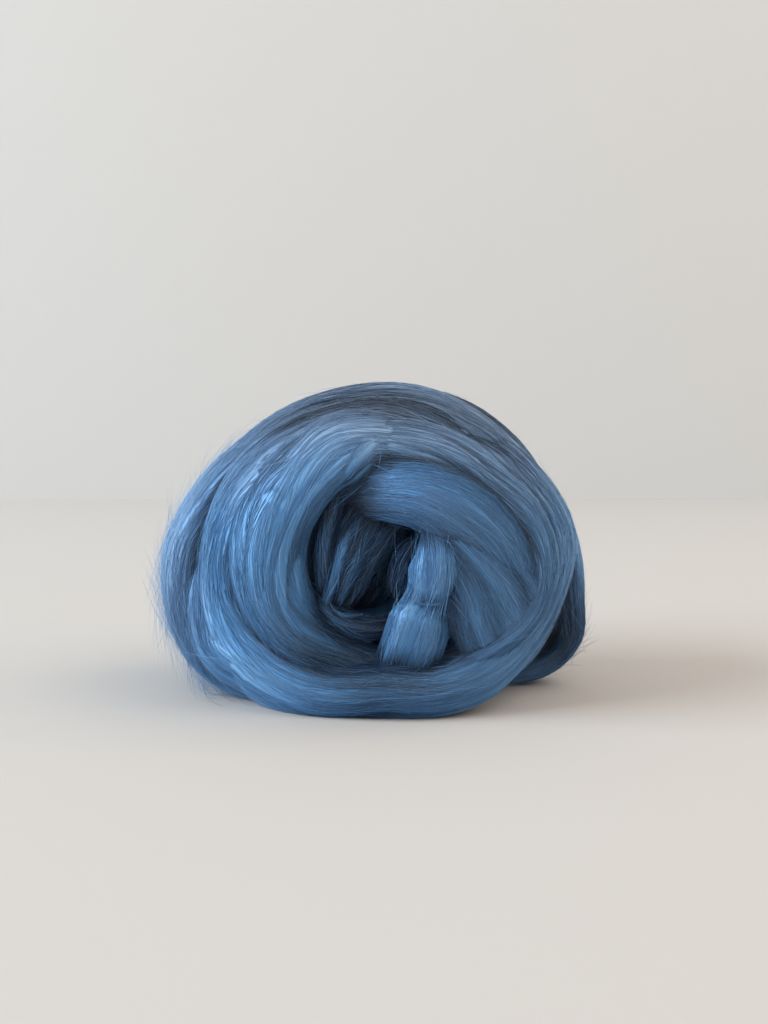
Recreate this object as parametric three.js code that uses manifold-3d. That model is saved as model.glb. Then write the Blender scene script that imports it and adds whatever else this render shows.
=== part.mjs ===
// A ball of viscose combed top: one long sliver of parallel fibres, wound by hand round a level axis
// and set down on its rim. Millimetres, +Z up. The winding axis runs along Y, and the open eye of the
// winding faces -Y. The origin is on the surface that the ball lies on, under the middle of its box.
import * as THREE from "three";
import { mergeVertices } from "three/addons/utils/BufferGeometryUtils.js";
import Module from "manifold-3d";

// Driving dimensions
const AXIS_HEIGHT = 56; // winding axis above the surface
const CORE = { x: 68, y: 47, z: 57, depth: 4 }; // half sizes of the packed middle, and its place in Y
const EYE = { x: -1, depth: -52, z: 57, across: 21, deep: 26 }; // the hollow left in the front
const END_TAPER = 0.12; // share of a sliver over which an end rounds off
const END_TIP = 0.004; // share of a sliver left off at a tip, so that its last section has a size
const SLIVER_STEP = 10; // length of sliver between two sections
const SECTION_SIDES = 10; // flats round a sliver's flattened section
const LENGTH_SAMPLES = 100; // points along a crest when its length is measured
const RUN_STEP = 0.001; // share of a sliver each way over which its direction is taken
const CORE_FACETS = { round: 28, high: 18 };
const EYE_FACETS = { round: 18, high: 10 };
const FLOOR_CUT = 300; // side of the block below the surface that flattens the underside

// Each turn is a run of the sliver round the axis. A row is one section of it:
// clock, degrees round the axis from +X up over the top; reach and depth, where the crest of the
// section lies from the axis and along Y; width and thick, its size; facing, degrees by which the
// crest leans from straight out (0) to the front (90) or the back (-90).
const TURN_COLUMNS = ["clock", "reach", "depth", "width", "thick", "facing"];
const TURNS = {
  rim_back: [
    [262, 58, 38, 38, 22, -25],
    [312, 70, 37, 42, 24, -30],
    [334, 80, 33, 42, 24, -28],
    [360, 75, 35, 44, 26, -32],
    [405, 66, 37, 44, 26, -35],
    [450, 58, 43, 44, 26, -38],
    [495, 62, 44, 44, 26, -38],
    [540, 72, 40, 44, 26, -35],
    [585, 72, 38, 42, 24, -30],
    [638, 58, 42, 38, 20, -25],
  ],
  rim_middle: [
    [288, 58, 10, 32, 16, 0],
    [312, 78, 9, 26, 14, 0],
    [325, 90, 8, 22, 12, 0],
    [336, 93, 6, 22, 12, 0],
    [347, 88, 5, 30, 17, 0],
    [362, 83, 5, 40, 22, 0],
    [396, 72, 5, 46, 24, 0],
    [450, 67, 10, 46, 24, 0],
    [496, 69, 7, 46, 24, 0],
    [520, 77, 4, 44, 24, 2],
    [540, 85, 1, 42, 24, 5],
    [553, 88, -1, 40, 24, 5],
    [565, 89, -4, 38, 22, 10],
    [577, 85, -8, 36, 20, 10],
    [600, 70, -8, 34, 20, 10],
    [632, 58, 0, 34, 16, 0],
  ],
  rim_low: [
    [168, 70, -8, 24, 14, 10],
    [195, 72, -16, 30, 18, 15],
    [220, 70, -25, 34, 20, 20],
    [245, 62, -31, 36, 20, 15],
    [272, 58, -32, 36, 20, 5],
    [302, 64, -29, 36, 20, 15],
    [328, 75, -20, 32, 20, 20],
    [350, 77, -8, 26, 16, 15],
    [370, 72, 2, 20, 12, 10],
  ],
  rim_front: [
    [24, 52, -20, 26, 16, 40],
    [52, 56, -23, 32, 20, 45],
    [87, 57, -24, 34, 22, 45],
    [112, 57, -27, 34, 22, 42],
    [136, 60, -30, 32, 22, 40],
    [162, 63, -31, 30, 22, 38],
    [189, 65, -31, 28, 22, 42],
    [204, 64, -35, 28, 22, 52],
    [221, 60, -43, 26, 22, 65],
    [241, 54, -52, 22, 21, 78],
    [273, 48, -58, 21, 20, 84],
    [298, 54, -57, 21, 20, 80],
    [316, 61, -51, 24, 22, 68],
    [333, 67, -41, 26, 22, 55],
    [349, 72, -32, 28, 22, 45],
    [368, 76, -22, 32, 22, 38],
    [392, 70, -17, 34, 22, 32],
    [414, 64, -13, 32, 20, 30],
    [442, 55, -4, 26, 16, 30],
  ],
  face_outer: [
    [36, 50, -18, 22, 14, 50],
    [60, 51, -30, 25, 17, 52],
    [88, 50, -36, 27, 19, 52],
    [122, 51, -40, 28, 20, 52],
    [143, 49, -44, 30, 22, 56],
    [164, 47, -47, 31, 22, 60],
    [184, 45, -49, 31, 22, 64],
    [206, 43, -51, 29, 22, 70],
    [229, 40, -51, 25, 20, 78],
    [254, 38, -48, 20, 18, 84],
    [284, 42, -44, 17, 16, 84],
    [319, 50, -45, 17, 16, 75],
    [341, 60, -42, 18, 17, 60],
    [356, 65, -37, 20, 18, 50],
    [374, 63, -36, 21, 18, 50],
    [392, 56, -40, 21, 18, 55],
    [406, 52, -40, 21, 17, 57],
    [420, 48, -34, 20, 15, 58],
    [438, 46, -24, 16, 12, 58],
  ],
  face_inner: [
    [70, 47, -27, 18, 12, 55],
    [90, 44, -40, 21, 14, 58],
    [104, 40, -46, 22, 15, 62],
    [124, 35, -48, 21, 16, 68],
    [150, 30, -49, 19, 17, 74],
    [187, 27, -49, 18, 17, 82],
    [219, 30, -49, 18, 16, 84],
    [241, 33, -47, 17, 15, 86],
    [264, 36, -41, 14, 12, 88],
  ],
  fan_upper: [
    [-30, 55, -42, 16, 12, 75],
    [-14, 56, -49, 18, 15, 72],
    [0, 53, -53, 20, 17, 70],
    [16, 47, -56, 22, 18, 70],
    [38, 40, -57, 22, 18, 70],
    [65, 33, -55, 20, 18, 70],
    [84, 33, -50, 20, 16, 68],
    [100, 34, -41, 19, 14, 68],
    [118, 36, -29, 14, 10, 68],
  ],
  fan_lower: [
    [-56, 36, -46, 18, 10, 85],
    [-40, 40, -54, 24, 14, 82],
    [-23, 44, -59, 27, 17, 80],
    [-7, 45, -61, 27, 18, 78],
    [10, 40, -60, 21, 16, 76],
    [26, 33, -56, 13, 11, 74],
    [46, 26, -49, 8, 8, 72],
  ],
  back_outer: [
    [20, 45, 50, 28, 18, -60],
    [75, 42, 56, 32, 22, -62],
    [135, 46, 56, 33, 22, -60],
    [195, 48, 53, 32, 22, -58],
    [250, 44, 52, 30, 22, -62],
    [310, 46, 54, 32, 22, -62],
    [360, 48, 55, 30, 22, -60],
    [395, 43, 55, 27, 20, -64],
    [425, 36, 52, 22, 16, -68],
  ],
  back_inner: [
    [-40, 28, 56, 20, 14, -80],
    [20, 26, 60, 24, 18, -80],
    [80, 23, 61, 25, 18, -82],
    [140, 25, 61, 24, 18, -82],
    [200, 25, 60, 23, 18, -82],
    [260, 20, 59, 20, 16, -84],
    [310, 14, 57, 17, 14, -86],
    [370, 8, 51, 13, 12, -88],
  ],
};

// Short locks that cross the eye. A row is one section: x, depth and z of its crest, width, thick,
// and aim, degrees by which the crest turns from the front towards +X.
const LOCK_COLUMNS = ["x", "depth", "z", "width", "thick", "aim"];
const LOCKS = {
  eye_right: [
    [15, -43, 77, 7, 7, -15],
    [19, -52, 68, 13, 11, -15],
    [21, -55, 57, 20, 16, -12],
    [20, -55, 47, 19, 14, -8],
    [19, -54, 43, 16, 10, -4],
    [15, -55, 31, 21, 12, 0],
    [11, -50, 19, 22, 10, 0],
    [9, -41, 11, 16, 8, 0],
  ],
  eye_across_upper: [
    [-3, -30, 78, 8, 8, 15],
    [-8, -40, 69, 11, 10, 15],
    [-12, -44, 59, 12, 11, 12],
    [-15, -46, 50, 11, 10, 10],
    [-19, -44, 40, 8, 8, 8],
  ],
  eye_across_lower: [
    [6, -30, 75, 9, 9, 15],
    [0, -38, 67, 12, 11, 15],
    [-4, -41, 57, 13, 11, 12],
    [-8, -43, 48, 11, 10, 10],
    [-14, -42, 38, 8, 8, 8],
  ],
  eye_curl: [
    [-21, -40, 42, 8, 8, 0],
    [-18, -46, 36, 11, 10, 0],
    [-9, -48, 29, 13, 11, 0],
    [0, -47, 29, 13, 11, 0],
    [5, -43, 36, 10, 9, 0],
    [6, -36, 43, 7, 7, 0],
  ],
  eye_nub: [
    [10, -36, 56, 7, 8, 0],
    [8, -46, 52, 9, 9, 0],
    [8, -47, 47, 9, 9, 0],
    [10, -40, 42, 7, 8, 0],
  ],
};

const wasm = await Module();
wasm.setup();

// Table rows as objects with their columns' names.
function named(columns, rows) {
  return rows.map((row) => Object.fromEntries(columns.map((column, i) => [column, row[i]])));
}

// A smooth curve through three columns of a table.
function columnCurve(rows, a, b, c) {
  return new THREE.CatmullRomCurve3(rows.map((row) => new THREE.Vector3(row[a], row[b], row[c])));
}

// Crest, outward direction and size of a turn's section at a share of the turn's length.
function turnCrest(rows) {
  const place = columnCurve(rows, "clock", "reach", "depth");
  const shape = columnCurve(rows, "width", "thick", "facing");
  return (share) => {
    const { x: clock, y: reach, z: depth } = place.getPoint(share);
    const { x: width, y: thick, z: facing } = shape.getPoint(share);
    const round = THREE.MathUtils.degToRad(clock);
    const lean = THREE.MathUtils.degToRad(facing);
    const radial = new THREE.Vector3(Math.cos(round), 0, Math.sin(round));
    const crest = radial.clone().multiplyScalar(reach).add(new THREE.Vector3(0, depth, AXIS_HEIGHT));
    const out = radial.multiplyScalar(Math.cos(lean)).add(new THREE.Vector3(0, -Math.sin(lean), 0));
    return { crest, out, width, thick };
  };
}

// Crest, outward direction and size of a lock's section at a share of the lock's length.
function lockCrest(rows) {
  const place = columnCurve(rows, "x", "depth", "z");
  const shape = columnCurve(rows, "width", "thick", "aim");
  return (share) => {
    const { x: width, y: thick, z: aim } = shape.getPoint(share);
    const turn = THREE.MathUtils.degToRad(aim);
    const out = new THREE.Vector3(Math.sin(turn), -Math.cos(turn), 0);
    return { crest: place.getPoint(share), out, width, thick };
  };
}

// How full the section is at a share of the sliver's length: whole, but rounded off at the ends.
function fullness(share) {
  const fromEnd = Math.min(share, 1 - share) / END_TAPER;
  return fromEnd >= 1 ? 1 : Math.sqrt(fromEnd * (2 - fromEnd));
}

// One flattened section of the sliver, set square to its run.
function section(crestAt, share) {
  const { crest, out, width, thick } = crestAt(share);
  const before = crestAt(Math.max(0, share - RUN_STEP)).crest;
  const after = crestAt(Math.min(1, share + RUN_STEP)).crest;
  const run = after.sub(before).normalize();
  const up = out.clone().addScaledVector(run, -out.dot(run)).normalize();
  const side = new THREE.Vector3().crossVectors(up, run);
  const middle = crest.addScaledVector(up, -thick / 2);
  const full = fullness(share);
  return Array.from({ length: SECTION_SIDES }, (_, i) => {
    const angle = (2 * Math.PI * i) / SECTION_SIDES;
    return middle
      .clone()
      .addScaledVector(side, (full * width * Math.cos(angle)) / 2)
      .addScaledVector(up, (full * thick * Math.sin(angle)) / 2);
  });
}

// The middle of a ring of points.
function middleOf(ring) {
  return ring.reduce((sum, point) => sum.add(point), new THREE.Vector3()).divideScalar(ring.length);
}

// A closed skin over a row of sections, with a fan of triangles over each end.
function skin(sections) {
  const sides = SECTION_SIDES;
  const last = (sections.length - 1) * sides;
  const points = [...sections.flat(), middleOf(sections[0]), middleOf(sections.at(-1))];
  const startPole = points.length - 2;
  const endPole = points.length - 1;
  const faces = [];
  for (let i = 0; i < sides; i += 1) {
    const next = (i + 1) % sides;
    faces.push(startPole, next, i, endPole, last + i, last + next);
    for (let ring = 0; ring < last; ring += sides) {
      faces.push(ring + i, ring + next, ring + sides + next);
      faces.push(ring + i, ring + sides + next, ring + sides + i);
    }
  }
  return new THREE.BufferGeometry().setFromPoints(points).setIndex(faces);
}

// A closed, indexed geometry as a solid that can be joined and cut.
function solidOf(geometry) {
  const vertProperties = new Float32Array(geometry.getAttribute("position").array);
  const triVerts = new Uint32Array(geometry.index.array);
  return new wasm.Manifold(new wasm.Mesh({ numProp: 3, vertProperties, triVerts }));
}

// A geometry of three's own as a solid, with its shared corners merged.
function plainSolid(geometry) {
  geometry.deleteAttribute("normal");
  geometry.deleteAttribute("uv");
  return solidOf(mergeVertices(geometry));
}

// A sliver as two lengths that meet at its middle, so that a full turn can lie over its own start.
function sliver(crestAt) {
  const crests = Array.from({ length: LENGTH_SAMPLES + 1 }, (_, i) => crestAt(i / LENGTH_SAMPLES).crest);
  const length = crests.slice(1).reduce((sum, crest, i) => sum + crest.distanceTo(crests[i]), 0);
  const half = Math.max(3, Math.round(length / SLIVER_STEP / 2));
  const sections = Array.from({ length: 2 * half + 1 }, (_, i) =>
    section(crestAt, THREE.MathUtils.lerp(END_TIP, 1 - END_TIP, i / half / 2)),
  );
  return solidOf(skin(sections.slice(0, half + 1))).add(solidOf(skin(sections.slice(half))));
}

// The packed middle of the ball, with the hollow of the eye pressed into its front.
function packedMiddle() {
  const core = new THREE.SphereGeometry(1, CORE_FACETS.round, CORE_FACETS.high);
  core.scale(CORE.x, CORE.y, CORE.z).translate(0, CORE.depth, AXIS_HEIGHT);
  const hollow = new THREE.SphereGeometry(1, EYE_FACETS.round, EYE_FACETS.high);
  hollow.scale(EYE.across, EYE.deep, EYE.across).translate(EYE.x, EYE.depth, EYE.z);
  return plainSolid(core).subtract(plainSolid(hollow));
}

// The block under the surface, which leaves the flat spots that the ball lies on.
function underFloor() {
  const block = new THREE.BoxGeometry(FLOOR_CUT, FLOOR_CUT, FLOOR_CUT);
  return plainSolid(block.translate(0, 0, -FLOOR_CUT / 2));
}

// The outer skin of a joined solid, without pockets that the turns close off inside.
function outerBody(solid) {
  return solid.decompose().reduce((most, body) => (body.volume() > most.volume() ? body : most));
}

// The whole ball, with the middle of its box over the origin.
function woundTop() {
  const turns = Object.values(TURNS).map((rows) => sliver(turnCrest(named(TURN_COLUMNS, rows))));
  const locks = Object.values(LOCKS).map((rows) => sliver(lockCrest(named(LOCK_COLUMNS, rows))));
  const joined = [...turns, ...locks].reduce((sum, piece) => sum.add(piece), packedMiddle());
  const { vertProperties, triVerts } = outerBody(joined.subtract(underFloor())).getMesh();
  const geometry = new THREE.BufferGeometry();
  geometry.setAttribute("position", new THREE.BufferAttribute(vertProperties, 3));
  geometry.setIndex(new THREE.BufferAttribute(triVerts, 1));
  geometry.computeBoundingBox();
  const middle = geometry.boundingBox.getCenter(new THREE.Vector3());
  geometry.translate(-middle.x, -middle.y, 0);
  geometry.computeVertexNormals();
  return geometry;
}

const blueViscose = new THREE.MeshStandardMaterial({ color: 0x4f7cab, roughness: 0.45, metalness: 0 });
const ball = new THREE.Mesh(woundTop(), blueViscose);
ball.name = "wound_top";

const part = new THREE.Group();
part.add(ball);

export default part;
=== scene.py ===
# %% [markdown]
# # A wound ball of viscose combed top
# Combed top is a loose rope of straight, parallel fibres, called a sliver. A long length of blue viscose
# sliver is wound by hand into a ball and set down on its rim, with the eye of the winding facing the
# camera. The ball could be sculpted or grown with hair particles. Here it is worked out as wide slivers
# carried along the turns of the winding, with strands and single fibres combed over them, because then
# each fibre runs the way the winding runs.

from math import pi, radians, tau
from types import SimpleNamespace

import bpy
import numpy as np
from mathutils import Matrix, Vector


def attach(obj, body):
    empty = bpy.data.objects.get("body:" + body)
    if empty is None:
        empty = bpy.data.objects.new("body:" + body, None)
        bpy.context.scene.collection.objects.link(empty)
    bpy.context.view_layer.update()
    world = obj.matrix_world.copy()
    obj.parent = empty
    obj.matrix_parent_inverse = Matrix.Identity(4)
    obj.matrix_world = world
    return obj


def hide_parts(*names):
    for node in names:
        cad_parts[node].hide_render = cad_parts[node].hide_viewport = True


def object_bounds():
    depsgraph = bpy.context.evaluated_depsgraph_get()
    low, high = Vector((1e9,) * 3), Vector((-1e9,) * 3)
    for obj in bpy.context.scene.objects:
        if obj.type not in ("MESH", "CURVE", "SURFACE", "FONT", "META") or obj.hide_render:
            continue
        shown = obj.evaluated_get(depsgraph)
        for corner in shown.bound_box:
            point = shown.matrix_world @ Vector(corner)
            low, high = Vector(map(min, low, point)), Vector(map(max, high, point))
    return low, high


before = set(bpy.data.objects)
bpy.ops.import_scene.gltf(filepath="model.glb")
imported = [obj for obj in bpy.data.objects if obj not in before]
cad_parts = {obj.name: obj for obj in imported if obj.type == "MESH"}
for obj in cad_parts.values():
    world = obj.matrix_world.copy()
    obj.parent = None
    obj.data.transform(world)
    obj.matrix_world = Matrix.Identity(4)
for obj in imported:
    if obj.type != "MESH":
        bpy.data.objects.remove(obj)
cad_box = [list(corner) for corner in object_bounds()]
MM = 0.001
print("the solid's box, in metres:", cad_box)

# %% [markdown]
# ## The turns of the winding
# The real ball is one sliver wound round a level axis, each turn crossing the ones before. Drawing it as
# one curve would be hard to steer, so each turn that shows is its own run of sliver, as it is in the solid.
# A row is one section of it, in millimetres and degrees: clock, round the axis from the right over the
# top; reach and depth, where the crest lies from the axis and along Y; width and thick, its size; and
# facing, how far the crest leans from straight out (0) to the front (90) or the back (-90).

# %% Turns round the axis
AXIS_HEIGHT = 56
# Columns: clock, reach, depth, width, thick, facing.
TURNS = {}
TURNS["rim_back"] = [
    [262, 58, 38, 38, 22, -25],
    [312, 70, 37, 42, 24, -30],
    [334, 80, 33, 42, 24, -28],
    [360, 75, 35, 44, 26, -32],
    [405, 66, 37, 44, 26, -35],
    [450, 58, 43, 44, 26, -38],
    [495, 62, 44, 44, 26, -38],
    [540, 72, 40, 44, 26, -35],
    [585, 72, 38, 42, 24, -30],
    [638, 58, 42, 38, 20, -25],
]
TURNS["rim_middle"] = [
    [288, 58, 10, 32, 16, 0],
    [312, 78, 9, 26, 14, 0],
    [325, 90, 8, 22, 12, 0],
    [336, 93, 6, 22, 12, 0],
    [347, 88, 5, 30, 17, 0],
    [362, 83, 5, 40, 22, 0],
    [396, 72, 6, 44, 24, 0],
    [450, 67, 12, 43, 24, 0],
    [496, 69, 9, 43, 24, 0],
    [520, 77, 5, 43, 24, 2],
    [540, 85, 1, 42, 24, 5],
    [553, 88, -1, 40, 24, 5],
    [565, 89, -4, 38, 22, 10],
    [577, 85, -8, 36, 20, 10],
    [600, 70, -8, 34, 20, 10],
    [632, 58, 0, 34, 16, 0],
]
TURNS["rim_low"] = [
    [168, 70, -6, 24, 14, 10],
    [186, 74, -12, 28, 18, 12],
    [200, 79, -16, 30, 20, 15],
    [210, 81, -20, 32, 21, 18],
    [219, 78.5, -25, 34, 22, 20],
    [230, 71, -29, 35, 22, 18],
    [247, 61.5, -32, 36, 20, 12],
    [272, 58, -32, 36, 20, 5],
    [302, 64, -29, 36, 20, 15],
    [328, 75, -20, 32, 20, 20],
    [350, 77, -8, 26, 16, 15],
    [370, 72, 2, 20, 12, 10],
]
TURNS["rim_front"] = [
    [0, 46, -10, 18, 12, 35],
    [26, 50, -16, 26, 16, 40],
    [54, 55, -22, 32, 20, 45],
    [87, 57, -24, 34, 22, 45],
    [112, 57, -27, 34, 22, 42],
    [136, 60, -30, 32, 22, 40],
    [162, 63, -31, 30, 22, 38],
    [189, 65, -31, 28, 22, 42],
    [204, 65, -35, 30, 22, 52],
    [221, 62, -43, 30, 22, 65],
    [241, 56, -52, 26, 21, 78],
    [273, 48, -58, 22, 20, 84],
    [298, 54, -57, 21, 20, 80],
    [316, 61, -51, 24, 22, 68],
    [333, 67, -41, 26, 22, 55],
    [349, 72, -32, 28, 22, 45],
    [368, 76, -22, 32, 22, 38],
    [390, 70, -16, 34, 22, 32],
    [410, 63.5, -11, 32, 20, 30],
    [430, 57, -5, 28, 17, 28],
    [450, 51, 1, 22, 13, 25],
    [468, 46, 6, 16, 10, 22],
]
TURNS["face_outer"] = [
    [10, 46, -12, 16, 10, 50],
    [36, 49, -18, 22, 14, 50],
    [60, 50, -24, 25, 17, 52],
    [82, 50, -30, 27, 19, 52],
    [104, 50.5, -37, 28, 20, 52],
    [122, 51, -40, 28, 20, 52],
    [143, 49, -44, 30, 22, 56],
    [164, 47, -47, 31, 22, 60],
    [184, 45, -49, 31, 22, 64],
    [206, 43, -51, 29, 22, 70],
    [229, 40, -51, 25, 20, 78],
    [254, 38, -48, 20, 18, 84],
    [284, 42, -46, 17, 16, 84],
    [319, 52, -51, 16, 16, 72],
    [341, 61, -48.5, 19, 17, 60],
    [356, 66, -43, 23, 18, 52],
    [374, 63, -39, 27, 18, 50],
    [392, 56, -41, 27, 18, 55],
    [408, 53, -40, 27, 17, 57],
    [426, 50.5, -37.8, 24, 14, 60],
    [444, 48.5, -37.5, 20, 11, 66],
    [462, 46.5, -38, 14, 8, 72],
    [480, 45.5, -39, 8, 5, 76],
    [494, 45, -39.5, 4, 3, 78],
]
TURNS["face_inner"] = [
    [70, 47, -27, 18, 12, 55],
    [90, 44, -39.5, 21, 14, 60],
    [104, 40, -43, 22, 15, 72],
    [124, 36, -43.5, 24, 16, 92],
    [150, 32, -43, 25, 17, 106],
    [187, 30, -42.5, 25, 17, 112],
    [219, 31, -42.5, 24, 16, 110],
    [241, 33, -42, 21, 15, 104],
    [264, 36, -39, 16, 12, 95],
]
TURNS["face_sheet"] = [
    [38, 46, -19, 10, 6, 48],
    [58, 49, -27.5, 16, 8, 50],
    [76, 50, -34, 21, 10, 52],
    [93, 51, -38.3, 25, 11, 54],
    [106, 50.5, -41, 27, 12, 56],
    [117, 47.5, -44, 27, 12, 60],
    [128, 44.5, -46.5, 26, 12, 66],
    [141, 41.5, -48.5, 25, 12, 74],
    [158, 40, -50, 24, 12, 80],
    [180, 39.5, -51, 23, 12, 84],
    [203, 39, -51.5, 22, 12, 88],
    [224, 38, -51, 20, 11, 90],
    [246, 37, -48, 15, 9, 90],
    [268, 38, -42, 10, 6, 88],
]
TURNS["fan_upper"] = [
    [-34, 54, -41, 14, 10, 75],
    [-16, 56, -48, 18, 14, 72],
    [0, 53, -53, 22, 17, 70],
    [16, 48, -56, 26, 18, 70],
    [38, 41, -57, 27, 18, 70],
    [58, 36, -55, 26, 17, 70],
    [76, 32.5, -51, 25, 16, 72],
    [92, 31, -44.5, 23, 14, 74],
    [106, 31, -37, 20, 11, 76],
    [120, 32, -28, 14, 8, 76],
]
TURNS["back_outer"] = [
    [20, 45, 50, 28, 18, -60],
    [75, 42, 56, 32, 22, -62],
    [135, 46, 56, 33, 22, -60],
    [195, 48, 53, 32, 22, -58],
    [250, 44, 52, 30, 22, -62],
    [310, 46, 54, 32, 22, -62],
    [360, 48, 55, 30, 22, -60],
    [392, 43, 54, 27, 20, -64],
    [420, 37, 49, 24, 16, -68],
    [446, 31, 43, 18, 12, -72],
    [470, 27, 37, 12, 8, -75],
]
TURNS["back_inner"] = [
    [-40, 28, 56, 20, 14, -80],
    [20, 26, 60, 24, 18, -80],
    [80, 23, 61, 25, 18, -82],
    [140, 25, 61, 24, 18, -82],
    [200, 25, 60, 23, 18, -82],
    [260, 20, 59, 20, 16, -84],
    [310, 14, 57, 17, 14, -86],
    [370, 8, 51, 13, 12, -88],
]
print(len(TURNS), "turns of sliver")

# %% [markdown]
# The locks are the short pieces of sliver that show in and around the eye. Their rows give the crest in
# plain x, depth and z, then width, thick and aim, the degrees by which the crest is turned from the front
# to the right.

# %% Locks in the eye
# Columns: x, depth, z, width, thick, aim.
LOCKS = {}
LOCKS["eye_right"] = [
    [18, -40, 79, 6, 6, -10],
    [20.5, -53, 71, 11, 10, -12],
    [20.8, -60, 64.5, 16, 14, -12],
    [20.8, -62, 57, 18.5, 16, -10],
    [20.6, -60.5, 50.5, 18, 14, -8],
    [20, -56, 45, 15.5, 8, -4],
    [17.8, -58.5, 39.5, 21, 12, 0],
    [16, -57, 32, 23.5, 13, 0],
    [13.3, -54, 24, 23.5, 12, 0],
    [11, -50, 17.5, 22, 11, 0],
    [9.5, -43, 11, 18, 9, 0],
    [8.5, -34, 6, 13, 7, 0],
]
LOCKS["eye_tie"] = [
    [15, -56.5, 44.8, 0.5, 0.6, -10],
    [18, -58, 44.4, 1, 1.1, 0],
    [22, -58.3, 44.3, 1.1, 1.2, 5],
    [25.5, -57, 44.9, 1, 1.1, 12],
    [29.5, -53.2, 46.2, 0.6, 0.7, 25],
]
LOCKS["eye_tie_low"] = [
    [16, -54.5, 44, 0.7, 0.7, -10],
    [21, -56.6, 44.1, 1, 0.9, 0],
    [26, -55, 44.6, 1, 0.8, 10],
    [31, -52.5, 46.2, 0.7, 0.7, 25],
]
LOCKS["fan_lower"] = [
    [17, -40, 80, 5, 5, 0],
    [21, -49, 75, 9, 7, 5],
    [27, -55.5, 68.5, 18, 11, 8],
    [35, -58.5, 59.5, 28, 14, 10],
    [43, -57.5, 49, 36, 15, 12],
    [48.5, -53, 38, 38, 13, 15],
    [52, -45, 28, 36, 11, 18],
    [54, -33, 20, 30, 8, 20],
]
LOCKS["eye_back"] = [
    [10, -30, 80, 22, 8, 5],
    [3, -38, 72, 27, 9, 5],
    [-4, -42, 64, 23, 9, 5],
    [-10, -44, 56, 16, 9, 5],
    [-13, -44, 48, 10, 8, 5],
    [-15.5, -41, 41, 6, 5, 0],
]
LOCKS["eye_across_upper"] = [
    [-4, -30, 80, 3, 4, 10],
    [-7.5, -38.6, 71.5, 4.5, 6, 10],
    [-10.5, -43.6, 63.5, 6, 7, 8],
    [-13.2, -45.8, 55.5, 6, 7, 6],
    [-15.8, -46.2, 48, 4.5, 6, 4],
    [-18.2, -44.5, 41, 3, 5, 0],
    [-20, -40, 36, 2, 3, 0],
]
LOCKS["eye_across_middle"] = [
    [3, -30, 80, 4, 5, 12],
    [-1, -38.8, 70.5, 6, 6, 12],
    [-4.5, -42.9, 62.5, 6.5, 7, 10],
    [-8, -45.1, 54.5, 5.5, 7, 8],
    [-11.5, -45.3, 46.5, 4, 6, 6],
    [-14.5, -42.5, 39, 2.5, 4, 4],
]
LOCKS["eye_across_lower"] = [
    [13, -31, 76, 3, 4, 15],
    [8, -38, 68.5, 4, 6, 15],
    [3, -41.8, 61.5, 5, 7, 12],
    [-2, -44.2, 53.5, 4.5, 6, 10],
    [-7, -44.4, 45.5, 3, 5, 8],
    [-11, -41, 39, 2, 3, 6],
]
LOCKS["eye_left"] = [
    [-14, -34, 93, 4, 4, -10],
    [-15, -40, 84, 6, 6, -10],
    [-17.4, -43, 72, 7, 7, -10],
    [-18.9, -44.2, 63, 7, 7, -8],
    [-18.7, -44, 51, 6, 6, -5],
    [-17, -41, 43, 4, 4, 0],
]
LOCKS["eye_curl"] = [
    [-21, -41, 46, 5, 6, 0],
    [-18, -45.5, 40, 6.5, 7, 0],
    [-11, -48, 35.2, 7.5, 8, 0],
    [-2, -48, 33, 7.5, 8, 0],
    [6, -44.5, 33.5, 7, 7, 0],
    [12, -38, 36, 5, 6, 0],
]
LOCKS["eye_thread"] = [
    [-15.5, -46, 40.2, 0.4, 0.4, 0],
    [-12.5, -48.6, 38.9, 1, 1, 0],
    [-9.5, -49.6, 38.3, 1.1, 1.1, 0],
    [-6.5, -49.2, 38.3, 0.9, 0.9, 0],
    [-4, -47, 38.8, 0.4, 0.4, 0],
]
LOCKS["eye_nub"] = [
    [15, -39, 67, 4, 5, -20],
    [11, -43.3, 60.5, 7, 8, -15],
    [9.2, -44.6, 53.5, 8.4, 9, -12],
    [9, -43.3, 47, 7.5, 8, -10],
    [11, -37, 41, 5, 6, -10],
]
LOCKS["lit_lock"] = [
    [9, -27, 106, 4, 4, 0],
    [5, -34, 104.6, 7, 5, 0],
    [1.5, -39.6, 102.2, 10, 7, -5],
    [-2.5, -43.1, 99.1, 11.5, 8, -8],
    [-6.5, -45.1, 95.7, 11.5, 8, -8],
    [-10, -45.8, 92.1, 10, 7, -8],
    [-13, -44.8, 88.7, 7, 5, -5],
    [-15, -41, 85, 4, 4, 0],
]
LOCKS["eye_deep"] = [
    [15, -20, 72, 10, 5, 0],
    [9, -26, 63, 15, 8, 0],
    [3, -29, 54, 17, 8, 0],
    [-3, -30, 45, 15, 8, 0],
    [-9, -27, 37, 9, 6, 0],
]
print(len(LOCKS), "locks in the eye")

# %% [markdown]
# ## Carrying a section along a path
# A sliver has a flattened oval section. At each station along its path three directions are needed: the
# run, along the fibres; up, from the middle of the section to its crest; and side, square to both. A curve
# object with a bevel would turn the section as it liked, so the stations are worked out here, all at once.

# %% Paths and stations
STATION_STEP = 3.3
FEWEST_STATIONS = 30
MEASURING_STEPS = 400
END_TAPER = 0.12
END_TIP = 0.004


def unit(vectors):
    """Each vector divided by its own length."""
    return vectors / np.maximum(np.linalg.norm(vectors, axis=-1, keepdims=True), 1e-9)


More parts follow.
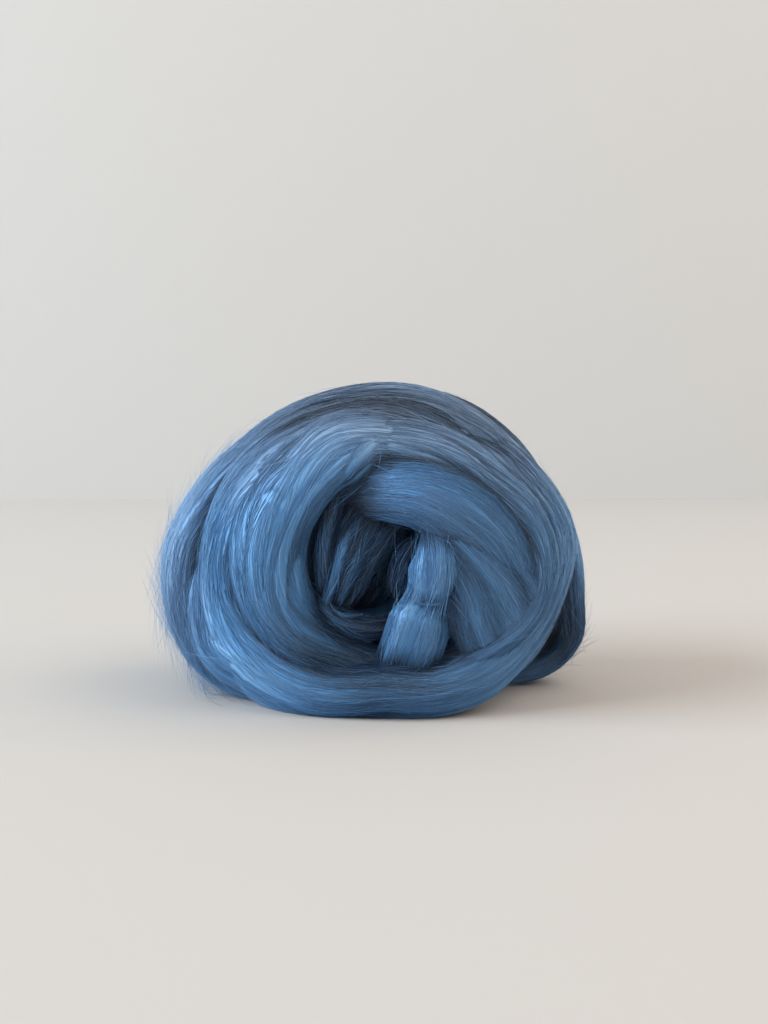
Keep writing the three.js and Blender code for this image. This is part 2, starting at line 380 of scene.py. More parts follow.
def smooth_rows(rows, share):
    """A cubic through a table's rows, whose slope at a row is half the step between its neighbours."""
    rows = np.asarray(rows, float)
    padded = np.vstack([2 * rows[0] - rows[1], rows, 2 * rows[-1] - rows[-2]])
    place = share * (len(rows) - 1)
    row = np.minimum(place.astype(int), len(rows) - 2)
    t = (place - row)[:, None]
    a, b, c, d = (padded[row + k] for k in range(4))
    return b + 0.5 * t * (c - a + t * (2 * a - 5 * b + 4 * c - d + t * (3 * b - a - 3 * c + d)))


def turn_crest(rows, share):
    """Crest = axis + reach * radial + depth along Y; out = radial * cos(facing) - Y * sin(facing)."""
    clock, reach, depth, width, thick, facing = smooth_rows(rows, share).T
    clock, facing = np.radians(clock), np.radians(facing)
    radial = np.stack([np.cos(clock), 0 * clock, np.sin(clock)], axis=1)
    crest = radial * reach[:, None] + np.stack([0 * depth, depth, 0 * depth + AXIS_HEIGHT], axis=1)
    along_y = np.stack([0 * facing, np.sin(facing), 0 * facing], axis=1)
    out = radial * np.cos(facing)[:, None] - along_y
    return crest, out, width, thick


def lock_crest(rows, share):
    """Crest straight from the table; out = X * sin(aim) - Y * cos(aim)."""
    x, depth, z, width, thick, aim = smooth_rows(rows, share).T
    aim = np.radians(aim)
    crest = np.stack([x, depth, z], axis=1)
    out = np.stack([np.sin(aim), -np.cos(aim), 0 * aim], axis=1)
    return crest, out, width, thick


def stations(name, crest_of, rows):
    """Stations at an even step: middle = crest - up * thick / 2, sizes rounded off towards both ends."""
    share = np.linspace(END_TIP, 1 - END_TIP, MEASURING_STEPS)
    steps = np.linalg.norm(np.diff(crest_of(rows, share)[0], axis=0), axis=1)
    gone = np.cumsum(np.r_[0, steps])
    length = gone[-1]
    count = max(FEWEST_STATIONS, int(length / STATION_STEP))
    along = np.linspace(0, length, count)
    share = np.interp(along, gone, share)
    crest, out, width, thick = crest_of(rows, share)
    run = unit(np.gradient(crest, axis=0))
    up = unit(out - run * (out * run).sum(axis=1, keepdims=True))
    from_end = np.minimum(np.minimum(share, 1 - share) / END_TAPER, 1)
    full = from_end * (2 - from_end)
    return SimpleNamespace(
        name=name, length=length, along=along, step=length / (count - 1),
        run=run, up=up, side=np.cross(up, run), middle=crest - up * thick[:, None] / 2,
        half_width=full * width / 2, half_thick=full * thick / 2,
    )


slivers = [stations(name, turn_crest, rows) for name, rows in TURNS.items()]
slivers += [stations(name, lock_crest, rows) for name, rows in LOCKS.items()]
print("sliver in all:", round(sum(sliver.length for sliver in slivers) / 1000, 2), "m")

# %% [markdown]
# ## Locks and strands on the sliver
# Viscose fibres cling together in locks a few millimetres wide, with soft grooves between, and each lock
# is made of finer strands. A sculptor would rake them in. Here the section is pushed in by soft grooves
# laid across it at uneven steps. Each fades in and out along the run, as locks part and join again, and
# the ripples make them wander a little.

# %% Ripples and grooves
GROOVE_HALF = 0.38
GROOVE_STEPS = (0.5, 1.5)
GROOVE_PACE = (0.004, 0.012)
GROOVE_POWER = 1.5
SPARE_SHARE, SPARE_LINES = 1.6, 4


def ripples(u, v, rng, u_rate, v_rate, count=7):
    """Smooth noise near -1 to 1: a mean of sine ripples of random heading, in ripples a millimetre."""
    heading = rng.normal(size=(count, 2)) * [u_rate, v_rate]
    phase = rng.random(count) * tau
    total = sum(np.sin(tau * (a * u + b * v) + c) for (a, b), c in zip(heading, phase))
    return total * np.sqrt(2 / count)


def grooves(across, along, rng, spacing):
    """Grooves = deep * fade * exp(-gap squared), with the gap to the nearest line, and each point's lock.

    The lines lie at uneven steps, and there are some to spare. deep is a random number to GROOVE_POWER, so
    that few are deep, and fade is a sine along the run.
    """
    low, high = across.min() - 2 * spacing, across.max() + 2 * spacing
    count = int(SPARE_SHARE * (high - low) / spacing) + SPARE_LINES
    lines = low + np.cumsum(rng.uniform(*GROOVE_STEPS, count)) * spacing
    nearest = np.searchsorted((lines[1:] + lines[:-1]) / 2, across)
    deep = rng.random(count) ** GROOVE_POWER
    pace, phase = rng.uniform(*GROOVE_PACE, count), rng.random(count)
    fade = 0.5 + 0.5 * np.sin(tau * (along * pace[nearest] + phase[nearest]))
    gap = (across - lines[nearest]) / (GROOVE_HALF * spacing)
    return deep[nearest] * fade * np.exp(-gap * gap), np.searchsorted(lines, across)


print("grooves lie at", GROOVE_STEPS, "of their spacing")

# %% [markdown]
# The two tables below say how far each of these moves the surface, in millimetres, and how much it changes
# the tone, which runs from 0, deep blue, to 1, pale blue. In the tone, grooves get painted shade and swells
# painted light, and each lock gets a random tone of its own. A few runs of sliver lie drawn out smooth, so
# their relief is calmed. The rates are ripples a millimetre along and across.

# %% The surface of each sliver
SECTION_POINTS = (40, 108)
POINTS_A_MILLIMETRE = 7
OUTER_SHARE = 0.8
OUTER_ARC = radians(236)
LOCK_SPACING, LOCK_SPACING_RATE = 2.2, 0.16
STRAND_SPACING = 2.2
WANDER, WANDER_RATES = 1.8, (0.008, 0.02)
SHIVER, SHIVER_RATES = 0.4, (0.02, 0.05)
STRAND_WANDER, STRAND_RATES = 0.3, (0.02, 0.1)
SWELL_RATES = (0.008, 0.035)
RELIEF = SimpleNamespace(swell=0.5, stand=0.12, lock=0.75, strand=0.2, sink=0.4)
# The tone of the grooves is painted shade and that of the swells is painted light; stand is a random tone.
TONE_AND_PAINTED_SHADING = SimpleNamespace(swell=0.08, stand=0.055, lock=0.22, strand=0.06, middle=0.5)
CALM = {"fan_lower": 0.3, "eye_right": 0.5, "fan_upper": 0.6, "face_sheet": 0.6}
FULL_RELIEF_HALF_WIDTH = 9
SHOWING_FROM, SHOWING_BAND = -0.55, 0.5


def section_angles(points):
    """Angles round the oval, close together on the outer arc and far apart on the hidden inner one."""
    outer = int(points * OUTER_SHARE)
    start = pi / 2 - OUTER_ARC / 2
    on_outer = start + OUTER_ARC * np.arange(outer) / outer
    on_inner = start + OUTER_ARC + (tau - OUTER_ARC) * np.arange(points - outer) / (points - outer)
    return np.r_[on_outer, on_inner]


def outward_normals(surface):
    """Square to the step along and the step around, at every point of a grid that closes up around."""
    around_step = np.roll(surface, -1, axis=1) - np.roll(surface, 1, axis=1)
    return unit(np.cross(around_step, np.gradient(surface, axis=0)))


def sliver_surface(sliver, seed):
    """Oval section = middle + side * half_width * cos + up * half_thick * sin, pushed in by its relief.

    The relief fades out round the hidden inner side of the section, and is less on a small sliver.
    """
    rng = np.random.default_rng(seed)
    widest = sliver.half_width.max()
    angle = section_angles(int(np.clip(widest * POINTS_A_MILLIMETRE, *SECTION_POINTS)))
    u, a = np.meshgrid(sliver.along, angle, indexing="ij")
    across = (pi / 2 - a) * widest
    wander = across + WANDER * ripples(u, across, rng, *WANDER_RATES)
    wander = wander + SHIVER * ripples(u, across, rng, *SHIVER_RATES)
    lock_groove, lock = grooves(wander, u, rng, LOCK_SPACING_RATE * widest + LOCK_SPACING)
    strand_wander = wander + STRAND_WANDER * ripples(u, across, rng, *STRAND_RATES)
    strand_groove, _ = grooves(strand_wander, u, rng, STRAND_SPACING)
    stand = rng.normal(size=lock.max() + 1)[lock]
    swell = ripples(u, across, rng, *SWELL_RATES)
    relief = RELIEF.swell * swell + RELIEF.stand * stand
    relief = relief - RELIEF.lock * lock_groove - RELIEF.strand * strand_groove - RELIEF.sink
    relief = relief * CALM.get(sliver.name, 1)
    showing = np.clip((np.sin(a) - SHOWING_FROM) / SHOWING_BAND, 0, 1)
    size = (sliver.half_width / widest)[:, None]
    cos, sin = np.cos(a)[..., None], np.sin(a)[..., None]
    side, up = sliver.side[:, None], sliver.up[:, None]
    half_width, half_thick = sliver.half_width[:, None, None], sliver.half_thick[:, None, None]
    outward = unit(side * cos * half_thick + up * sin * half_width)
    surface = sliver.middle[:, None] + side * cos * half_width + up * sin * half_thick
    push = relief * showing * size * min(1, widest / FULL_RELIEF_HALF_WIDTH)
    surface = surface + outward * push[..., None]
    surface[..., 2] = np.maximum(surface[..., 2], 0)
    # Painted shade in the grooves, painted light on the swells, and a random tone for each lock.
    tone = TONE_AND_PAINTED_SHADING.middle + TONE_AND_PAINTED_SHADING.stand * stand + TONE_AND_PAINTED_SHADING.swell * swell
    sliver.tone = tone - TONE_AND_PAINTED_SHADING.lock * lock_groove - TONE_AND_PAINTED_SHADING.strand * strand_groove
    sliver.angle, sliver.surface = angle, surface
    sliver.normal = outward_normals(surface)


for seed, sliver in enumerate(slivers):
    sliver_surface(sliver, seed)
print("stations and section points:", {s.name: s.surface.shape[:2] for s in slivers})

# %% [markdown]
# ## Which parts of a sliver can be seen
# Strands are wanted only where the sliver isn't covered by its neighbours, or most of them would be
# buried. A point is covered if it lies inside another sliver's oval section, measured at the station
# nearest to it, of which every second one is tried.

# %% Covered points
COVER_DEPTH = 2.2
FLOOR_TOUCH = 0.4
OWN_ROWS = 36
STATION_STRIDE = 2
LEAST_HALF, LEAST_N = 0.1, 0.05
PAST_END = 1.5 * STATION_STEP
FAR = 1e6


def gap_to(points, sliver, own_row=None):
    """Millimetres from points to a sliver's oval surface, below 0 inside, and the way to its middle.

    With n the length of (across / half_width, above / half_thick), the gap is (n - 1) over the slope of n.
    Points of the sliver itself give their row, and then only its other passes round the ball count.
    """
    reach = ((points[:, None] - sliver.middle[None, ::STATION_STRIDE]) ** 2).sum(axis=2)
    if own_row is not None:
        rows_apart = np.abs(own_row[:, None] - np.arange(0, len(sliver.middle), STATION_STRIDE)[None])
        reach = reach + FAR * (rows_apart < OWN_ROWS)
    near = np.minimum(reach.argmin(axis=1) * STATION_STRIDE, len(sliver.middle) - 1)
    off = points - sliver.middle[near]
    half_width = np.maximum(sliver.half_width[near], LEAST_HALF)
    half_thick = np.maximum(sliver.half_thick[near], LEAST_HALF)
    across = (off * sliver.side[near]).sum(axis=1) / half_width
    above = (off * sliver.up[near]).sum(axis=1) / half_thick
    past_end = np.maximum(np.abs((off * sliver.run[near]).sum(axis=1)) - PAST_END, 0)
    n = np.maximum(np.hypot(across, above), LEAST_N)
    gap = (n - 1) * n / np.hypot(across / half_width, above / half_thick) + past_end
    return gap + FAR * (reach.min(axis=1) >= FAR), -off


def covered(points, own, own_row):
    """True where a point is well inside another sliver or another pass of its own, or is at the floor."""
    inside = points[:, 2] < FLOOR_TOUCH
    for other in slivers:
        gap, _ = gap_to(points, other, own_row if other is own else None)
        inside = inside | (gap < -COVER_DEPTH)
    return inside


def lookup(grid, row, column):
    """Values of a grid between its points, straight along rows and round the columns, which close up."""
    row = np.clip(row, 0, grid.shape[0] - 1.001)
    r, c = row.astype(int), np.floor(column).astype(int)
    p, q = (row - r)[..., None], (column - c)[..., None]
    c0, c1 = c % grid.shape[1], (c + 1) % grid.shape[1]
    low = grid[r, c0] * (1 - q) + grid[r, c1] * q
    return low * (1 - p) + (grid[r + 1, c0] * (1 - q) + grid[r + 1, c1] * q) * p


pinch = np.array([[20.0, -50.0, 45.0]])
print("the pinch in the right-hand lock is covered:", bool(covered(pinch, None, None)[0]))

# %% [markdown]
# ## Soft creases
# Loose fibres bridge the line where two slivers meet, so a crease is a soft valley and not a sharp edge,
# and it is dark, because little light gets in. Sculpting tools would smooth it. Here each point close to a
# neighbour is lifted by the formula that rounds off a union, and painted shade lowers its tone where that
# neighbour rises above it. Three broad painted shades lower it too: the hollow of the eye, the foot at the
# right, and the runs that lie level under the belly and over the crown, which turn their shine away from
# the side light. Painted light raises the two sides and the runs that catch that light, painted shade
# lowers a few others, and where one turn comes out from under another, painted shade and light bring their
# tones together. The tone is stored with the point, so an exported model keeps it. A ramp's row gives the
# place, in millimetres, where it is 0 and the place where it is 1.

# %% Crease lift and tone
# Painted shade: the crease, the eye's hollow, the level runs and the foot lower the tone.
CREASE_SHADE = 0.72
SHADE_REACH = 2.3
LEVEL_SHADE = 0.49
HOLLOW_SHADE = 0.36
FOOT_SHADE = 0.34
# Painted light on both sides of the ball.
SIDE_PAINTED_LIGHT = 0.07
CROWN_SHARE = 0.85
DARKEST_TONE = 0.04
ROUNDING, ROUNDING_LIMITS = 0.6, (1, 5)
STANDING_OVER = 0.7
EYE_MIDDLE = np.array([-1.0, -52.0, 57.0])
BELLY_X = -2
SIDES_X = 5
RAMPS = {
    "hollow_round": (40.8, 16.8),
    "hollow_deep": (-56, -36),
    "belly_across": (48, 0),
    "belly_low": (90, 40),
    "crown_high": (80, 105),
    "crown_back": (-38, -20),
    "foot_right": (62, 78),
    "foot_low": (54, 32),
    "sides_across": (33, 57),
    "sides_high": (28, 42),
}
# Painted light for runs that catch the side light, and painted shade where the value is below 0.
RUNS_PAINTED_LIGHT_AND_SHADE = {
    "rim_front": 0.12, "rim_middle": 0.13, "face_sheet": 0.12, "fan_upper": -0.05, "fan_lower": -0.09,
    "lit_lock": 0.16, "eye_right": 0.31, "eye_tie": 0.35, "eye_tie_low": 0.2, "eye_thread": 0.25,
    "eye_back": 0.04, "eye_across_upper": 0.18, "eye_across_middle": 0.1, "eye_across_lower": 0.08,
    "eye_left": 0.03, "eye_deep": 0.24, "eye_nub": -0.1, "eye_curl": -0.06,
}
# Painted shade at the start of face_sheet and painted light at the end of face_outer, so their tones meet.
ENDS_PAINTED_SHADE_AND_LIGHT = {"face_sheet": (-0.4, 0), "face_outer": (0, 0.12)}
END_FADE = 0.3


def ramp(name, place):
    """0 and 1 at the two places of the ramp's row, straight between them and level beyond."""
    low, high = RAMPS[name]
    return np.clip((place - low) / (high - low), 0, 1)


def broad_shade(sliver, points):
    """Shade of the hollow, the level runs and the foot, less the light on the sides: products of ramps.

    A run counts as level by the square of its x direction.
    """
    x, y, z = points.T
    from_eye = np.hypot(x - EYE_MIDDLE[0], z - EYE_MIDDLE[2])
    hollow = ramp("hollow_round", from_eye) * ramp("hollow_deep", y) * (y < 0)
    belly = ramp("belly_across", np.abs(x - BELLY_X)) * ramp("belly_low", z)
    crown = CROWN_SHARE * ramp("crown_high", z) * ramp("crown_back", y)
    foot = ramp("foot_right", x) * ramp("foot_low", z)
    sides = ramp("sides_across", np.abs(x - SIDES_X)) * ramp("sides_high", z)
    level = np.repeat(sliver.run[:, 0] ** 2, len(sliver.angle)) * (belly + crown)
    return HOLLOW_SHADE * hollow + LEVEL_SHADE * level + FOOT_SHADE * foot - SIDE_PAINTED_LIGHT * sides


def crease(sliver):
    """Lift = k / 5 * near and shade = rises * dim, the most from any neighbour, plus the broad shade.

    near and dim fall as squares from 1 at the neighbour to 0 at k and at SHADE_REACH * k, and rises is how
    far the neighbour stands over the point.
    """
    points, normals = sliver.surface.reshape(-1, 3), sliver.normal.reshape(-1, 3)
    row = np.repeat(np.arange(len(sliver.along)), len(sliver.angle))
    lift, shade = np.zeros(len(points)), np.zeros(len(points))
    for other in slivers:
        k = np.clip(ROUNDING * min(sliver.half_thick.max(), other.half_thick.max()), *ROUNDING_LIMITS)
        gap, towards = gap_to(points, other, row if other is sliver else None)
        near = np.clip(1 - gap / k, 0, 1) ** 2
        dim = np.clip(1 - gap / (SHADE_REACH * k), 0, 1) ** 2
        rises = np.clip(STANDING_OVER + (unit(towards) * normals).sum(axis=1), 0, 1)
        lift = np.maximum(lift, k / 5 * near)
        shade = np.maximum(shade, rises * dim)
    shade = CREASE_SHADE * shade + broad_shade(sliver, points)
    return lift.reshape(sliver.tone.shape), shade.reshape(sliver.tone.shape)


for sliver in slivers:
    lift, shade = crease(sliver)
    sliver.surface = sliver.surface + sliver.normal * lift[..., None]
    sliver.surface[..., 2] = np.maximum(sliver.surface[..., 2], 0)
    share = sliver.along / sliver.length
    at_start, at_end = ENDS_PAINTED_SHADE_AND_LIGHT.get(sliver.name, (0, 0))
    # Each run's painted light and shade, and that at its ends, go into the tone here.
    lit = RUNS_PAINTED_LIGHT_AND_SHADE.get(sliver.name, 0) * np.sin(pi * share) ** 2
    lit = lit + at_start * np.clip(1 - share / END_FADE, 0, 1)
    lit = lit + at_end * np.clip(1 - (1 - share) / END_FADE, 0, 1)
    sliver.tone = np.maximum(sliver.tone - shade + lit[:, None], DARKEST_TONE)
    sliver.normal = outward_normals(sliver.surface)
print("creases softened on", len(slivers), "slivers")

# %% [markdown]
# ## Turning arrays into meshes
# A sliver, a strand and a single fibre are all closed tubes: rings of points along a run, with a tip at
# each end. So one function makes the mesh for all of them. It also lays out two UV maps: fibre, in metres
# along and around, for the streaks, and OFBake, with one cell for each tube, for a later bake.

# %% Closed tubes
CELL_MARGIN = 0.06
LONE_CELL_MARGIN = 0.004


def tube_faces(rings, corners):
    """Faces of one tube as rows of (ring, corner) places; ring 0 and ring rings + 1 are the tips."""
    ring, corner = np.meshgrid(np.arange(1, rings), np.arange(corners), indexing="ij")
    ring, corner = ring.ravel(), corner.ravel()
    quads = np.stack([[ring, corner], [ring, corner + 1], [ring + 1, corner + 1], [ring + 1, corner]])
    edge = np.arange(corners)
    first, last = 0 * edge, 0 * edge + rings
    start = np.stack([[first, edge], [first + 1, edge + 1], [first + 1, edge]])
    end = np.stack([[last, edge], [last, edge + 1], [last + 1, edge]])
    return quads.transpose(2, 0, 1), np.concatenate([start, end], axis=2).transpose(2, 0, 1)


def add_maps(mesh, ring, corner, count, corners, fibre_u, fibre_v):
    """fibre holds metres along and around; OFBake gives tube k the cell k of a square grid of cells."""
    tubes = len(fibre_u)
    fibre = np.stack([fibre_u[:, ring], fibre_v[:, corner]], axis=-1) * MM
    mesh.uv_layers.new(name="fibre").data.foreach_set("uv", fibre.astype(np.float32).ravel())
    side = int(np.ceil(np.sqrt(tubes)))
    cell = np.stack([np.arange(tubes) % side, np.arange(tubes) // side], axis=-1)[:, None]
    inside = np.stack([ring / (count + 1), corner / corners], axis=-1)[None]
    margin = CELL_MARGIN if tubes > 1 else LONE_CELL_MARGIN
    bake = (cell + margin + (1 - 2 * margin) * inside) / side
    mesh.uv_layers.new(name="OFBake").data.foreach_set("uv", bake.astype(np.float32).ravel())


def tube_mesh(name, rings, tips, tone, fibre_u, fibre_v, material):
    """One piece of closed tubes from rings (tube, ring, corner, xyz) and tips (tube, end, xyz), in mm."""
    tubes, count, corners = rings.shape[:3]
    stride = count * corners + 2
    quads, tris = tube_faces(count, corners)
    ring, corner = np.concatenate([quads.reshape(-1, 2), tris.reshape(-1, 2)]).T
    on_ring = 1 + (ring - 1) * corners + corner % corners
    index = np.where(ring == 0, 0, np.where(ring > count, stride - 1, on_ring))
    loops = (index[None] + stride * np.arange(tubes)[:, None]).ravel()
    sizes = np.tile(np.r_[np.full(len(quads), 4), np.full(len(tris), 3)], tubes)
    points = np.concatenate([tips[:, :1], rings.reshape(tubes, -1, 3), tips[:, 1:]], axis=1) * MM
    mesh = bpy.data.meshes.new(name)
    mesh.vertices.add(tubes * stride)
    mesh.vertices.foreach_set("co", points.astype(np.float32).ravel())
    mesh.loops.add(len(loops))
    mesh.loops.foreach_set("vertex_index", loops.astype(np.int32))
    mesh.polygons.add(len(sizes))
    mesh.polygons.foreach_set("loop_start", np.r_[0, np.cumsum(sizes)[:-1]].astype(np.int32))
    mesh.update(calc_edges=True)
    tones = np.concatenate([tone[:, 0, :1], tone.reshape(tubes, -1), tone[:, -1, :1]], axis=1)
    # The stored tone holds random tone together with painted shade and painted light.
    stored = mesh.attributes.new("tone", "FLOAT", "POINT")
    stored.data.foreach_set("value", tones.astype(np.float32).ravel())
    add_maps(mesh, ring, corner, count, corners, fibre_u, fibre_v)
    mesh.polygons.foreach_set("use_smooth", np.ones(len(sizes), bool))
    mesh.materials.append(material)
    piece = bpy.data.objects.new(name, mesh)
    bpy.context.scene.collection.objects.link(piece)
    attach(piece, "root")
    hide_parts("wound_top")
    print(name, "has", int((sizes - 2).sum()), "triangles")


quads, tris = tube_faces(8, 3)
print("a tube of 8 rings and 3 corners has", 2 * len(quads) + len(tris), "triangles")

# %% [markdown]
# ## The viscose finish
# Viscose is shiny and takes dye evenly, so its look comes from how light runs along the fibres: bright
# where they lie across the light, dark where they dive into a groove. A hair shader would do this, but it
# can't be baked. The fibres here are real tubes, so a plain glossy shader on them already gives the silky
# sheen. The nodes vary the shade from lock to lock and along each fibre, and they also show the painted
# shade and light held in the tone, and a painted grey sheen.

# %% Shader arithmetic
class Wire:
    """A node's output that takes part in sums: each operator adds one Math node."""

    def __init__(self, tree, socket=None):
        self.tree = tree
        self.socket = socket

    def node(self, kind, settings, sockets, out=0):
        """Adds any node: its settings first, then its sockets' values or links, and wraps one output."""
        made = self.tree.nodes.new(kind)
        for name, value in settings.items():
            setattr(made, name, value)
        for key, value in sockets.items():
            if isinstance(value, Wire):
                self.tree.links.new(value.socket, made.inputs[key])
            else:
                made.inputs[key].default_value = value
        return Wire(self.tree, made.outputs[out] if made.outputs else None)

    def maths(self, operation, *terms):
        """Adds a Math node on these terms."""
        return self.node("ShaderNodeMath", {"operation": operation}, dict(enumerate(terms)))

    def __add__(self, other):
        return self.maths("ADD", self, other)

    __radd__ = __add__

    def __sub__(self, other):
        return self.maths("SUBTRACT", self, other)

    def __rsub__(self, other):
        return self.maths("SUBTRACT", other, self)

    def __mul__(self, other):
        return self.maths("MULTIPLY", self, other)

    __rmul__ = __mul__

    def axes(self):
        """The x, y and z of a vector."""
        parts = self.node("ShaderNodeSeparateXYZ", {}, {0: self})
        return [Wire(self.tree, output) for output in parts.socket.node.outputs]

    def ramp(self, low, high):
        """0 at low, 1 at high, straight between them and level beyond."""
        rate = 1 / (high - low)
        settings = {"operation": "MULTIPLY_ADD", "use_clamp": True}
        return self.node("ShaderNodeMath", settings, {0: self, 1: rate, 2: -low * rate})

    def blend(self, first, second):
        """A colour from first, at 0, to second, at 1; sockets 6 and 7 are a Mix node's two colours."""
        return self.node("ShaderNodeMix", {"data_type": "RGBA"}, {0: self, 6: first, 7: second}, out=2)


print("shader sums ready")

# %% [markdown]
# Two finishes share one recipe: a sliver shows many fine streaks and some bump, and a fibre, which is a
# streak itself, shows few. A painted grey sheen, standing in for the room reflected at a slant, is put on
# the crown and on both flanks, so some of the colour is taken off there. Its ramps are in metres.

# %% Viscose materials
DEEP_BLUE = (0.01, 0.034, 0.09, 1)
MID_BLUE = (0.072, 0.22, 0.465, 1)
PALE_BLUE = (0.2, 0.44, 0.76, 1)
CLOUD_SCALE, CLOUD_SHADE = (10.0, 220.0, 1.0), 0.35
STREAK_ROUGHNESS, SHADE_ROUGHNESS = 0.2, 0.2
DARK_METAL, METAL_LOSS = 0.85, 0.8
FULL_COLOUR = 1.03
# Painted sheen: how much colour is taken off the crown and the two flanks.
CROWN_HEIGHT, CROWN_DEPTH, CROWN_PAINTED_SHEEN = (0.07, 0.112), (-0.05, -0.038), 0.24
RIGHT_FLANK, RIGHT_PAINTED_SHEEN = (0.01, 0.075), 0.07
LEFT_FLANK, LEFT_PAINTED_SHEEN = (-0.062, -0.08), 0.14


def viscose(name, streak_scale, streak_shade, mean_roughness, bump_strength):
    """Base colour = deep to mid to pale blue by tone and streaks, less a painted grey sheen.

    Roughness and bump follow the streaks, and dark places are more metallic, so they shine in blue.
    """
    material = bpy.data.materials.new(name)
    material.use_nodes = True
    tree = material.node_tree
    tree.nodes.clear()
    new = Wire(tree).node
    tone = new("ShaderNodeAttribute", {"attribute_name": "tone"}, {}, out="Fac")
    fibre = new("ShaderNodeUVMap", {"uv_map": "fibre"}, {})
    drawn = new("ShaderNodeMapping", {}, {"Vector": fibre, "Scale": streak_scale})
    streak_sockets = {"Vector": drawn, "Scale": 1.0, "Detail": 4.0, "Roughness": 0.6}
    streak = new("ShaderNodeTexNoise", {}, streak_sockets)
    broad = new("ShaderNodeMapping", {}, {"Vector": fibre, "Scale": CLOUD_SCALE})
    cloud = new("ShaderNodeTexNoise", {}, {"Vector": broad, "Scale": 1.0, "Detail": 2.0})
    shade = tone + (streak - 0.5) * streak_shade + (cloud - 0.5) * CLOUD_SHADE
    darker = (shade * 2.0).blend(DEEP_BLUE, MID_BLUE)
    colour = (shade * 2.0 - 1.0).blend(darker, PALE_BLUE)
    x, y, z = new("ShaderNodeTexCoord", {}, {}, out="Object").axes()
    # Painted grey sheen on the crown and flanks, in place of a reflection of the room.
    crown = z.ramp(*CROWN_HEIGHT) * y.ramp(*CROWN_DEPTH)
    painted_sheen = crown * CROWN_PAINTED_SHEEN + x.ramp(*RIGHT_FLANK) * RIGHT_PAINTED_SHEEN + x.ramp(*LEFT_FLANK) * LEFT_PAINTED_SHEEN
    greyed = new("ShaderNodeHueSaturation", {}, {"Color": colour, "Saturation": FULL_COLOUR - painted_sheen})
    roughness = mean_roughness + (streak - 0.5) * STREAK_ROUGHNESS + (0.5 - shade) * SHADE_ROUGHNESS
    bump = new("ShaderNodeBump", {}, {"Strength": bump_strength, "Distance": 0.0004, "Height": streak})
    look = {
        "Base Color": greyed,
        "Roughness": roughness,
        "Normal": bump,
        "Metallic": DARK_METAL - shade * METAL_LOSS,
        "Specular IOR Level": 0.85,
        "Specular Tint": (0.66, 0.84, 1.0, 1),
        "Sheen Weight": 0.26,
        "Sheen Roughness": 0.5,
        "Sheen Tint": (0.76, 0.88, 1.0, 1),
    }
    surface = new("ShaderNodeBsdfPrincipled", {}, look)
    new("ShaderNodeOutputMaterial", {}, {"Surface": surface})
    return material


sliver_finish = viscose(
    "blue_viscose_sliver",
    streak_scale=(28.0, 1900.0, 1.0), streak_shade=0.42, mean_roughness=0.56, bump_strength=0.45,
)
fibre_finish = viscose(
    "blue_viscose_fibre",
    streak_scale=(40.0, 900.0, 1.0), streak_shade=0.2, mean_roughness=0.68, bump_strength=0.1,
)
print("finishes:", sliver_finish.name, fibre_finish.name)

# %% [markdown]
# ## The slivers themselves
# Under its loose fibres a real sliver is a soft body that keeps the shape of its turn. The ball could be
# made of fibres alone, but that takes millions of them, and light would leak between. So each run is one
# closed tube from the grid above, with its streaks on its own UV map, and the fibres only dress it.

# %% Sliver pieces
for sliver in slivers:
    tips = np.stack([sliver.surface[0].mean(axis=0), sliver.surface[-1].mean(axis=0)])
    girth = sliver.half_width.max() * (np.r_[sliver.angle, sliver.angle[0] + tau] - sliver.angle[0])
    tube_mesh(
        sliver.name, sliver.surface[None], tips[None], sliver.tone[None],
        np.r_[0, sliver.along, sliver.length][None], girth[None], sliver_finish,
    )

# %% [markdown]
# ## The packed middle
# Behind the eye the inner turns are packed into a dark heap that shows only through the gaps. It is an
# ellipsoid with the hollow of the eye pressed into its front, which closes every gap between the turns.

# %% Packed middle
CORE_HALF = np.array([67.0, 43.0, 55.0])
CORE_MIDDLE = np.array([0.0, 4.0, 57.0])
CORE_RATES, CORE_SEED = (0.05, 0.05), 90
EYE_ACROSS, EYE_DEEP = 29.0, 40.0
HEAP_TONE = 0.55
HEAP_LENGTH, HEAP_GIRTH = 150, 350


def packed_middle(rings=60, corners=120):
    """Ellipsoid = middle + half sizes * unit sphere, with points in the eye moved to its far side."""
    leans, turns = pi * np.arange(1, rings + 1) / (rings + 1), tau * np.arange(corners) / corners
    lean, turn = np.meshgrid(leans, turns, indexing="ij")
    ball = np.stack([np.sin(lean) * np.cos(turn), -np.cos(lean), -np.sin(lean) * np.sin(turn)], axis=-1)
    surface = CORE_MIDDLE + CORE_HALF * ball
    rng = np.random.default_rng(CORE_SEED)
    surface = surface + ball * ripples(surface[..., 0], surface[..., 2], rng, *CORE_RATES)[..., None]
    off = (surface - EYE_MIDDLE) / EYE_ACROSS
    inside = np.clip(1 - off[..., 0] ** 2 - off[..., 2] ** 2, 0, 1)
    floor_of_eye = EYE_MIDDLE[1] + EYE_DEEP * np.sqrt(inside)
    front = (ball[..., 1] < 0) & (inside > 0)
    surface[..., 1] = np.where(front, np.maximum(surface[..., 1], floor_of_eye), surface[..., 1])
    return surface


heap = packed_middle()
heap_tips = np.stack([heap[0].mean(axis=0), heap[-1].mean(axis=0)])
heap_tone = np.full(heap.shape[:2], HEAP_TONE)
heap_u = np.linspace(0, HEAP_LENGTH, heap.shape[0] + 2)
heap_v = np.linspace(0, HEAP_GIRTH, heap.shape[1] + 1)
tube_mesh(
    "packed_middle", heap[None], heap_tips[None], heap_tone[None],
    heap_u[None], heap_v[None], sliver_finish,
)

